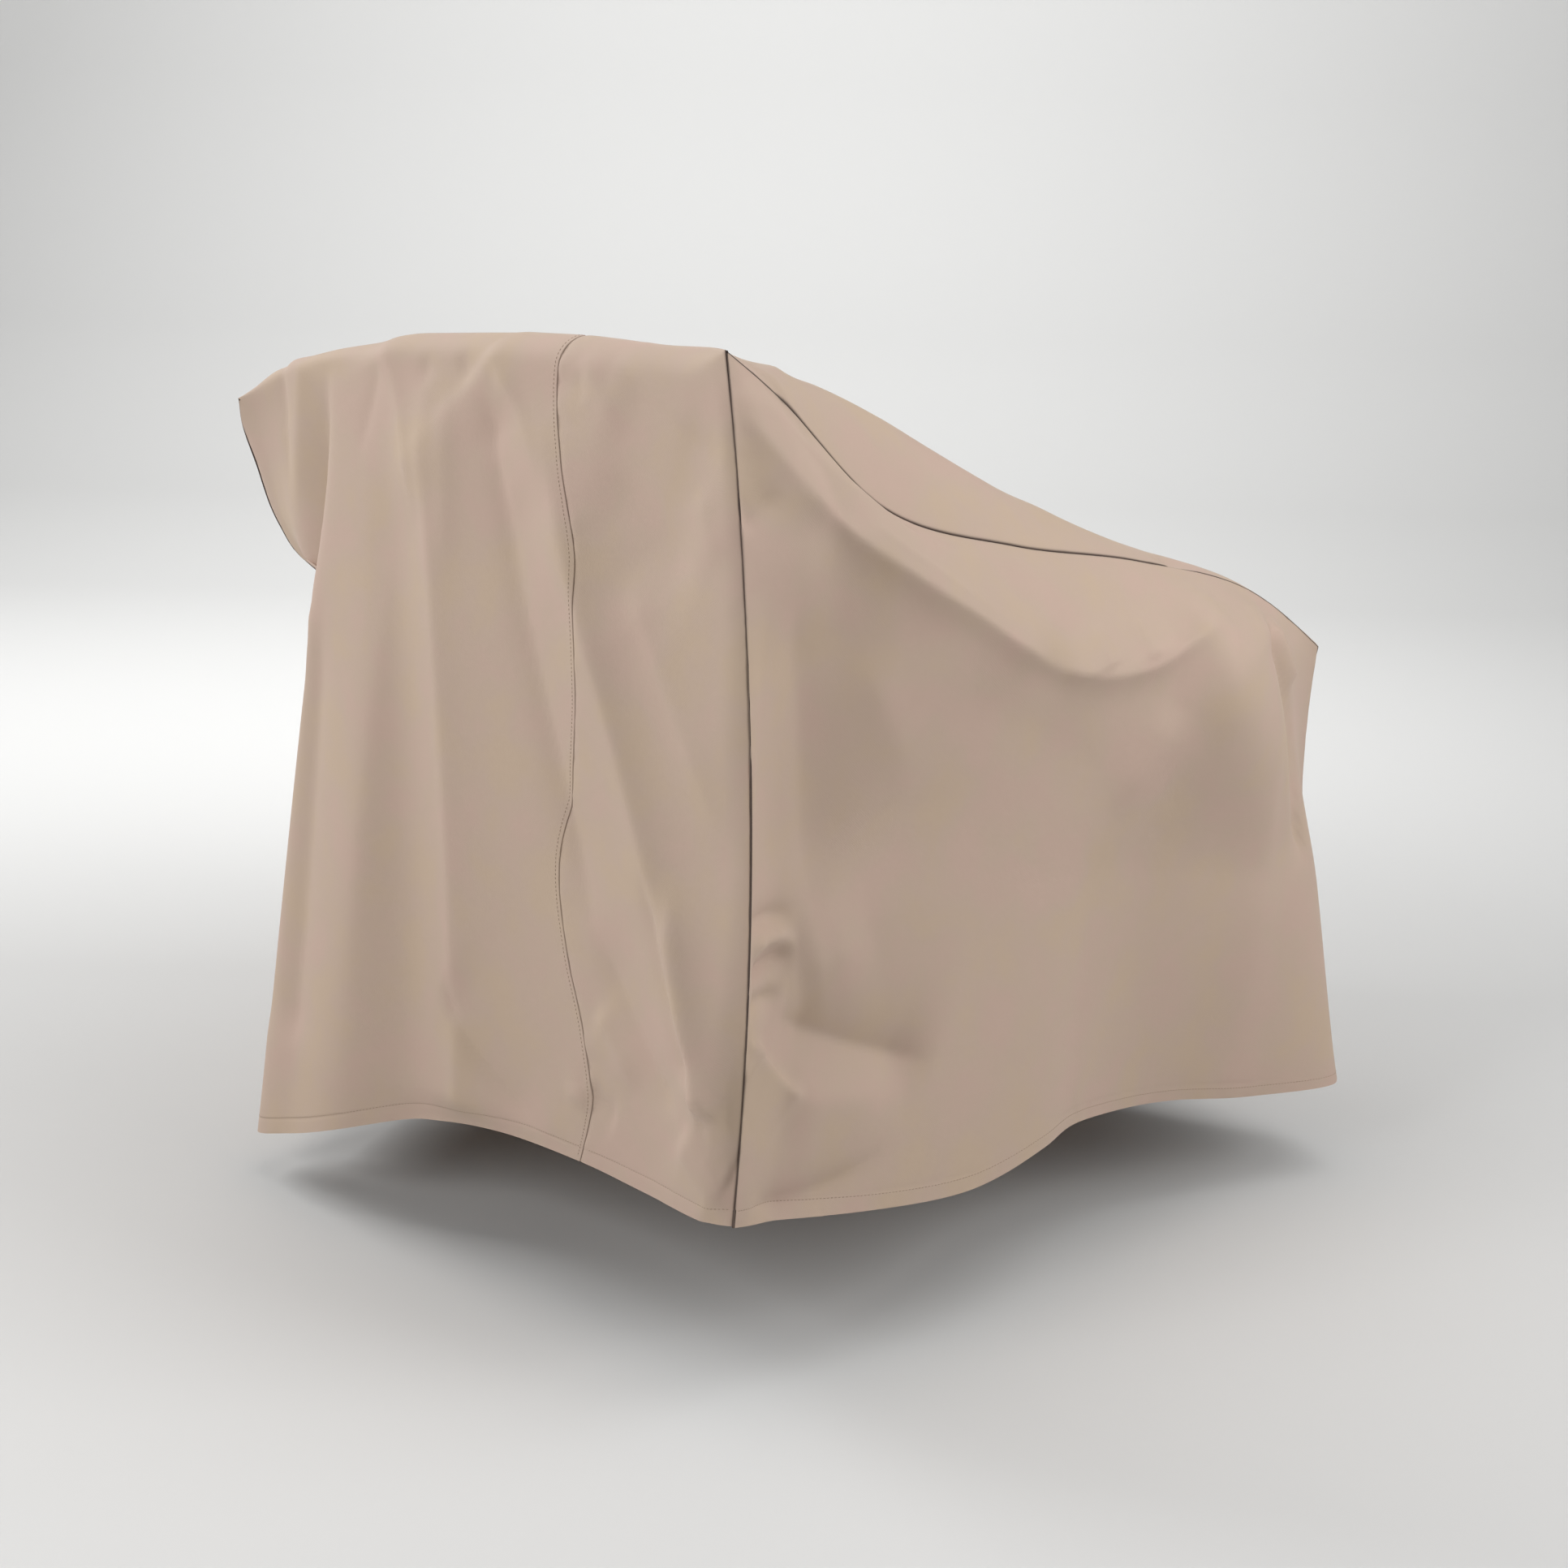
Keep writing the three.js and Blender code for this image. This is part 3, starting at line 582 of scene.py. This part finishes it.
shader.inputs["Sheen Weight"].default_value = 0.06
shader.inputs["Sheen Roughness"].default_value = 0.5
WAVE_TURN = 20  # radians that a wave texture turns in a metre at scale 1
weave_scale = 2 * math.pi / (WAVE_TURN * 2 * YARN)
over_and_under = []
for direction in "XY":
    on_cloth = [("Vector", cut_cloth, "UV")]
    yarns = add_node(tree, "ShaderNodeTexWave", on_cloth, bands_direction=direction, Scale=weave_scale)
    swing = add_node(tree, "ShaderNodeMath", [(0, yarns, "Fac")], operation="SUBTRACT")
    swing.inputs[1].default_value = 0.5
    over_and_under.append(swing)
warp, weft = over_and_under
crossing = add_node(tree, "ShaderNodeMath", [(0, warp, "Value"), (1, weft, "Value")], operation="MULTIPLY")
slub = add_node(tree, "ShaderNodeTexNoise", [("Vector", place, "Object")], Scale=SLUBS, Detail=3.0)
texture = add_node(tree, "ShaderNodeMath", [(0, crossing, "Value"), (1, slub, "Fac")], operation="ADD")
bump = add_node(tree, "ShaderNodeBump", [("Height", texture, "Value")], Strength=0.3, Distance=0.0003)
tree.links.new(bump.outputs["Normal"], shader.inputs["Normal"])

NARROW_STEP, STRIP_STEP = 5, 6.5  # mm between the rows of the grids
STRIP_DROP = spread(DROP_LENGTH, STRIP_STEP, HEM_ROWS, RIM_ROWS)
STRIP_TOP = spread(TOP_LENGTH, STRIP_STEP)
NARROW, WIDE = PLY_SEAM * STRIP_WIDTH, (1 - PLY_SEAM) * STRIP_WIDTH
NARROW_SHARES = PLY_SEAM * spread(NARROW, NARROW_STEP, SEAM_ROWS, SEAM_ROWS)
WIDE_SHARES = PLY_SEAM + (1 - PLY_SEAM) * spread(WIDE, STRIP_STEP, SEAM_ROWS, SEAM_ROWS)
# Radius at which a panel's edge rolls into its seam, in mm; at a corner it is loosest halfway up
ARM_ROLL = 1.6
CORNER_ROLL = rows("z radius", [
    [60, 1.2], [240, 1.3], [420, 2.6], [600, 3.2], [760, 3.0], [880, 1.8], [971, 1.4],
])
LAP_ROLL = 0.6  # the ply seam's wide length lies on the narrow one
LAP_STEP, LAP_SLOPE = 0.8, 9  # mm that the narrow length lies lower, and over which it gets there
NEAR_ROUND, FAR_ROUND = (24, 6.5), (20, 3.0)  # mm over which a corner rounds off, and how deep
RIM_CHANGE = 0.1  # share of a drop over which a corner's roll becomes the arm's
STRIP_CUT = 2.37  # m from hem to hem, with both hems turned up


def corner_roll(z):
    low, *_, high = CORNER_ROLL["z"]
    return through(CORNER_ROLL["z"], CORNER_ROLL["radius"], np.clip(z, low, high))


# Spun polyester thread, a shade darker than the cloth: dull and faintly hairy, it shows as a row of dashes
THREAD_COLOUR = "#9c8876"
FIBRES = 2500.0  # to a metre: wisps 0.4 mm long
thread, tree, shader = new_material("spun_polyester_sewing_thread")
place = add_node(tree, "ShaderNodeTexCoord")
fibres = add_node(tree, "ShaderNodeTexNoise", [("Vector", place, "Object")], Scale=FIBRES, Detail=2.0)
fuzz = add_node(tree, "ShaderNodeBump", [("Height", fibres, "Fac")], Strength=0.4, Distance=0.0001)
tree.links.new(fuzz.outputs["Normal"], shader.inputs["Normal"])
shader.inputs["Base Color"].default_value = linear(THREAD_COLOUR)
shader.inputs["Roughness"].default_value = 0.65
shader.inputs["IOR"].default_value = 1.46

# mm thick, long, apart and from a line's ends; each stitch is a short roll between its two holes
THREAD, STITCH, STITCH_PITCH, STITCH_MARGIN = 0.6, 3.0, 4.0, 9
STITCH_SIDES = 6
# along as a share of the stitch's length, thick and lift as shares of the thread's thickness
STITCH_RINGS = rows("along thick lift", [
    [-0.5, 0.4, -0.6], [-0.34, 0.9, 0.0], [0, 1, 0.3], [0.34, 0.9, 0.0], [0.5, 0.4, -0.6],
])


def stitching(name, lines):
    """Topstitching along lines of surface points in mm, each with the surface's normals there."""
    points, faces = [], []
    for line, normals in lines:
        run = lengths_along(line[:, None], 0)[:, 0]
        middle = np.arange(STITCH_MARGIN, run[-1] - STITCH_MARGIN, STITCH_PITCH)[:, None]
        at = middle + STITCH_RINGS["along"] * STITCH
        on_line = lambda values: np.stack([np.interp(at, run, values[:, i]) for i in range(3)], -1)
        out = unit(on_line(normals))
        aside = unit(np.cross(on_line(np.gradient(line, axis=0)), out))
        turn = np.arange(STITCH_SIDES) * 2 * math.pi / STITCH_SIDES
        ring = np.cos(turn)[:, None] * aside[:, :, None] + np.sin(turn)[:, None] * out[:, :, None]
        centre = on_line(line) + out * STITCH_RINGS["lift"][:, None] * THREAD
        tube = centre[:, :, None] + ring * (STITCH_RINGS["thick"] * THREAD / 2)[:, None, None]
        start = sum(map(len, points))
        index = start + np.arange(tube.size // 3).reshape(tube.shape[:3])
        after = np.roll(index, -1, 2)
        sides = np.stack([index[:, :-1], after[:, :-1], after[:, 1:], index[:, 1:]], -1).reshape(-1, 4)
        first, last = index[:, 0], index[:, -1]
        points.append(tube.reshape(-1, 3))
        faces += [sides, first[:, [3, 2, 1, 0]], first[:, [5, 4, 3, 0]], last[:, :4], last[:, [0, 3, 4, 5]]]
    piece = mesh_object(name, (np.concatenate(points) - FRAME_ORIGIN) / 1000, np.concatenate(faces), thread)
    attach(piece, "root")
    return piece


shares = np.concatenate([NARROW_SHARES, WIDE_SHARES[1:]])
smooth, rim, edge = strip_surface(shares, STRIP_DROP, STRIP_TOP)
tall = np.concatenate([
    relief(BACK_FOLDS, smooth[:, :rim, 0], smooth[:, :rim, 2]),
    relief(SEAT_FOLDS, smooth[:, rim:edge, 0], smooth[:, rim:edge, 1]),
    relief(FRONT_FOLDS, smooth[:, edge:, 0], smooth[:, edge:, 2]),
], 1) * seam_calm(shares)[:, None]
folded = smooth + tall[..., None] * normals_of(smooth, -1)
small = np.concatenate([
    relief(BACK_CREASES, folded[:, :rim, 0], folded[:, :rim, 2]),
    relief(SEAT_CREASES, folded[:, rim:edge, 0], folded[:, rim:edge, 1]),
    relief(FRONT_CREASES, folded[:, edge:, 0], folded[:, edge:, 2]),
], 1)
from_near, run = lengths_along(folded, 0), lengths_along(folded, 1)
from_far = from_near[-1] - from_near
split = len(NARROW_SHARES) - 1
from_ply = np.abs(from_near - from_near[split])
hem_distance = np.minimum(run, run[:, -1:] - run)
small += puckers(run, from_near, seed=11, pitch=24, high=1.1, reach=12)
small += puckers(run, from_far, seed=12, pitch=24, high=1.1, reach=12)
small += np.where(
    np.arange(len(shares))[:, None] <= split,
    puckers(run, from_ply, seed=13, pitch=26, high=1.9, reach=14),
    puckers(run, from_ply, seed=14, pitch=26, high=0.4, reach=6),
)
small += puckers(from_near, hem_distance, seed=15, pitch=17, high=0.8, reach=14)
small -= hem_groove(hem_distance)
small *= 1 - np.exp(-np.minimum(from_near, from_far) / STITCHED_STIFF)
outer = folded + small[..., None] * normals_of(folded, -1)
below_rim = ease((1 - STRIP_DROP) / RIM_CHANGE)
on_drop = np.concatenate([below_rim, np.zeros(len(STRIP_TOP) - 2), below_rim[::-1]])
seam_roll = ARM_ROLL + (corner_roll(smooth[..., 2]) - ARM_ROLL) * on_drop
for distance, seam_u, into, arm_turn, (reach, depth) in (
    (from_near, 0, 1, NEAR_ARM_TURN, NEAR_ROUND),
    (from_far, 1, -1, FAR_ARM_TURN, FAR_ROUND),
):
    turned_in = roll_in(distance, seam_roll) + round_off(distance, reach, depth * on_drop)
    outer = outer + turned_in[..., None] * side_seam(seam_u, into, STRIP_DROP, STRIP_TOP, arm_turn)

for name, start, stop, flat in (
    ("narrow", 0, split + 1, (0.275, STRIP_CUT)),
    ("wide", split, len(shares), (0.603, STRIP_CUT)),
):
    part, ply = outer[start:stop].copy(), from_ply[start:stop]
    down = roll_in(ply, LAP_ROLL)
    if name == "narrow":
        down = down + round_off(ply, LAP_SLOPE, LAP_STEP)
    part -= down[..., None] * normals_of(folded, -1)[start:stop]
    side_seams = np.minimum(from_near, from_far)[start:stop]
    # Painted shadow in the slits of the side seams and of the ply seam
    shade = painted_slit_shadow(side_seams, CORNER_PAINTED_SHADOW) + painted_slit_shadow(ply, PLY_PAINTED_SHADOW)
    piece = cloth_object("cloth_centre_" + name, part, -1, hem_distance[start:stop], shade, weave)
    facing = normals_of(part, -1)
    lines = [(part[:, row], facing[:, row]) for row in (HEM_STITCH_ROW, -1 - HEM_STITCH_ROW)]
    if name == "wide":
        lines.append((part[SEAM_STITCH_ROW], facing[SEAM_STITCH_ROW]))
    stitches = stitching("stitching_centre_" + name, lines)
    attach(piece, "root")
    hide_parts("centre_panel_" + name)

# Side panels: each hangs from the arm and meets the strip along its back, arm and front edges. The near one
# is drawn in under the arm's swag; the far one hangs free of the far arm.
SEAM_REACH = 0.1  # a side bends over this share of its width to meet its seams
ARM_CALM = 0.05  # share of a side's height over which its folds die out towards the arm seam
SIDE_MID = 0.45  # height of mid, as a share of the way up
# A side by u, from the back seam to the front one; its edge is where it turns over the arm, at edgeV of its
# height
NEAR_SIDE = rows("u edgeX edgeY edgeZ edgeV midX midY hemX hemY hemZ", [
    [0.0, -360, 392, 861, 0.86, -404, 407, -394, 412, 187],
    [0.06, -356, 340, 884, 0.91, -372, 354, -389, 362, 176],
    [0.13, -357, 282, 820, 0.89, -372, 305, -392, 310, 167],
    [0.2, -372, 223, 778, 0.87, -376, 246, -398, 252, 160],
    [0.35, -392, 127, 718, 0.845, -390, 130, -406, 122, 149],
    [0.5, -404, -2, 658, 0.81, -396, 8, -393, 5, 159],
    [0.58, -400, -70, 646, 0.825, -386, -58, -368, -62, 158],
    [0.65, -396, -124, 656, 0.866, -378, -122, -350, -135, 147],
    [0.76, -392, -217, 680, 0.93, -384, -222, -344, -240, 132],
    [0.86, -372, -308, 640, 0.935, -386, -330, -364, -350, 116],
    [0.94, -350, -382, 590, 0.92, -370, -424, -383, -469, 108],
    [1.0, -320, -458, 480, 0.76, -318, -462, -338, -500, 106],
])
FAR_SIDE = rows("u edgeX edgeY edgeZ edgeV midX midY hemX hemY hemZ", [
    [0.0, 440, 366, 638, 0.75, 366, 338, 352, 400, 70],
    [0.15, 460, 270, 700, 0.88, 440, 270, 425, 280, 66],
    [0.4, 425, 60, 640, 0.9, 445, 60, 455, 60, 66],
    [0.65, 420, -160, 600, 0.9, 430, -160, 425, -165, 68],
    [0.85, 440, -330, 560, 0.92, 425, -340, 450, -345, 70],
    [1.0, 455, -444, 430, 0.73, 440, -440, 425, -440, 70],
])
NEAR_FOLDS = rows(FOLD, [
    [404, 944, 290, 808, 0, 11, 12, 44, 4, 0.2, 0.3],
    [350, 862, 20, 648, -6, 18, 13, 50, 3, 0.25, 0.15],
    [64, 670, -226, 694, -44, 18, 13, 50, 3, 0.2, 0.22],
    [190, 655, -90, 502, 10, -15, 120, 66, 24, 0.25, 0.4],
    [-272, 690, -290, 470, 0, 14, 46, 60, 8, 0.25, 0.7],
    [-282, 620, -316, 170, 0, 8, 60, 56, 10, 0.3, 0.4],
    [-195, 650, -40, 400, 0, 4, 36, 36, 16, 0.25, 0.4],
    [330, 800, 304, 430, 10, -20, 50, 120, 10, 0.3, 0.3],
    [356, 374, 158, 286, -6, -24, 36, 42, 3, 0.25, 0.25],
    [322, 394, 226, 420, 8, 8, 40, 34, 10, 0.3, 0.5],
    [350, 288, 190, 262, 0, 8, 34, 24, 12, 0.3, 0.4],
])
FAR_FOLDS = rows(FOLD, [
    [270, 700, 250, 80, 8, 12, 34, 34, 14, 0.3, 0.1],
    [120, 640, 130, 80, 0, -10, 36, 36, 18, 0.3, 0.1],
    [-60, 600, -50, 80, -8, 10, 36, 36, 14, 0.3, 0.1],
    [-230, 580, -220, 80, 0, -12, 34, 34, 18, 0.3, 0.1],
    [-350, 560, -362, 80, 6, 10, 30, 30, 14, 0.3, 0.1],
])
NEAR_CREASES = rows(FOLD, [
    [398, 822, 346, 854, 0, -6, 9, 22, 2, 0.3, 0.4],
    [259, 821, 91, 708, 0, 1.6, 5, 5, 1, 0.2, 0.3],
    [402, 472, 324, 466, 0, -10, 11, 9, 3, 0.15, 0.4],
    [402, 452, 322, 436, 6, 12, 8, 12, 3, 0.15, 0.4],
    [402, 424, 326, 430, 0, -10, 9, 9, 3, 0.15, 0.3],
    [402, 398, 340, 392, 0, -8, 8, 8, 3, 0.15, 0.4],
    [405, 366, 384, 352, 0, 4, 8, 5, 1, 0.1, 0.3],
    [398, 362, 316, 284, -4, 9, 26, 6, 1, 0.1, 0.15],
    [396, 202, 206, 226, -22, -13, 22, 15, 4, 0.25, 0.5],
    [-301, 662, -392, 366, 8, -16, 34, 6, 1, 0.1, 0.2],
    [-326, 645, -367, 575, -6, 8, 10, 8, 2, 0.1, 0.3],
    [-22, 696, -30, 648, 0, 4, 16, 14, 3, 0.4, 0.08],
    [-88, 696, -96, 650, 0, 4, 14, 12, 3, 0.4, 0.08],
    [-130, 602, -57, 489, 0, 5, 20, 20, 10, 0.3, 0.4],
    [249, 702, 176, 531, 0, 4, 20, 24, 10, 0.3, 0.5],
])
FAR_CREASES = rows(FOLD, [
    [330, 640, 200, 480, 10, 5, 16, 20, 6, 0.2, 0.4],
    [-380, 500, -250, 380, -8, 5, 16, 20, 6, 0.2, 0.4],
    [60, 300, -40, 200, 8, 4, 18, 18, 6, 0.3, 0.4],
])


def free_side(table, seam_u, u, v):
    """A side as it hangs from the arm seam, before its back and front edges are pulled to their seams."""
    s = station(table, "u", u)
    hem = point(s["hemX"], s["hemY"], s["hemZ"])
    mid = point(s["midX"], s["midY"], s["hemZ"] + (s["edgeZ"] - s["hemZ"]) * SIDE_MID / s["edgeV"])
    side_edge = point(s["edgeX"], s["edgeY"], s["edgeZ"])
    seam = seat_surface(np.full_like(u, seam_u), u)
    return through([0, SIDE_MID, s["edgeV"], 1], [hem, mid, side_edge, seam], v)


def side_surface(table, seam_u, u, v):
    at_seam = np.full_like(u, seam_u)
    to_back = back_surface(at_seam, v) - free_side(table, seam_u, np.zeros_like(u), v)
    to_front = front_surface(at_seam, v) - free_side(table, seam_u, np.ones_like(u), v)
    back_pull, front_pull = ease(1 - u / SEAM_REACH), ease(1 - (1 - u) / SEAM_REACH)
    return free_side(table, seam_u, u, v) + to_back * back_pull[..., None] + to_front * front_pull[..., None]


for name, table, folds, creases, seam_u, outwards, arm_turn, step in (
    ("near", NEAR_SIDE, NEAR_FOLDS, NEAR_CREASES, 0, 1, NEAR_ARM_TURN, 4.6),
    ("far", FAR_SIDE, FAR_FOLDS, FAR_CREASES, 1, -1, FAR_ARM_TURN, 7),
):
    drop = spread(DROP_LENGTH, step, HEM_ROWS, SEAM_ROWS)
    top = spread(TOP_LENGTH, step, SEAM_ROWS, SEAM_ROWS)
    u, v = np.meshgrid(top, drop, indexing="ij")
    smooth = side_surface(table, seam_u, u, v)
    tall = relief(folds, smooth[..., 1], smooth[..., 2]) * seam_calm(u) * ease((1 - v) / ARM_CALM)
    folded = smooth + tall[..., None] * normals_of(smooth, outwards)
    from_back, from_hem = lengths_along(folded, 0), lengths_along(folded, 1)
    from_front, from_arm = from_back[-1] - from_back, from_hem[:, -1:] - from_hem
    seam_distance = np.minimum(np.minimum(from_back, from_front), from_arm)
    small = relief(creases, folded[..., 1], folded[..., 2])
    small += puckers(from_hem, from_back, seed=21, pitch=24, high=1.4, reach=14)
    small += puckers(from_hem, from_front, seed=22, pitch=24, high=1.2, reach=12)
    small += puckers(from_back, from_arm, seed=23, pitch=24, high=1.0, reach=10)
    small += puckers(from_back, from_hem, seed=24, pitch=17, high=0.8, reach=14)
    small -= hem_groove(from_hem)
    small *= 1 - np.exp(-seam_distance / STITCHED_STIFF)
    outer = folded + small[..., None] * normals_of(folded, outwards)
    way_in = side_seam(seam_u, outwards, drop, top, arm_turn)
    back_in, front_in = way_in[: len(drop)], way_in[: -len(drop) - 1 : -1]
    arm_in = way_in[len(drop) - 1 : 1 - len(drop)]
    roll = corner_roll(smooth[..., 2])
    outer = outer + roll_in(from_back, roll)[..., None] * back_in[None]
    outer = outer + roll_in(from_front, roll)[..., None] * front_in[None]
    outer = outer + roll_in(from_arm, ARM_ROLL)[..., None] * arm_in[:, None]
    # Painted shadow in the slits of the back, front and arm seams
    shade = painted_slit_shadow(np.minimum(from_back, from_front), CORNER_PAINTED_SHADOW) + painted_slit_shadow(from_arm, ARM_PAINTED_SHADOW)
    piece = cloth_object("cloth_side_" + name, outer, outwards, from_hem, shade, weave)
    hem_line = (outer[:, HEM_STITCH_ROW], normals_of(outer, outwards)[:, HEM_STITCH_ROW])
    stitches = stitching("stitching_side_" + name, [hem_line])
    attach(piece, "root")
    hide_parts("side_panel_" + name)

boxes = {"cad": cad_box, "visual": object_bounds()}
boxes = {name: [[float(x) for x in corner] for corner in box] for name, box in boxes.items()}
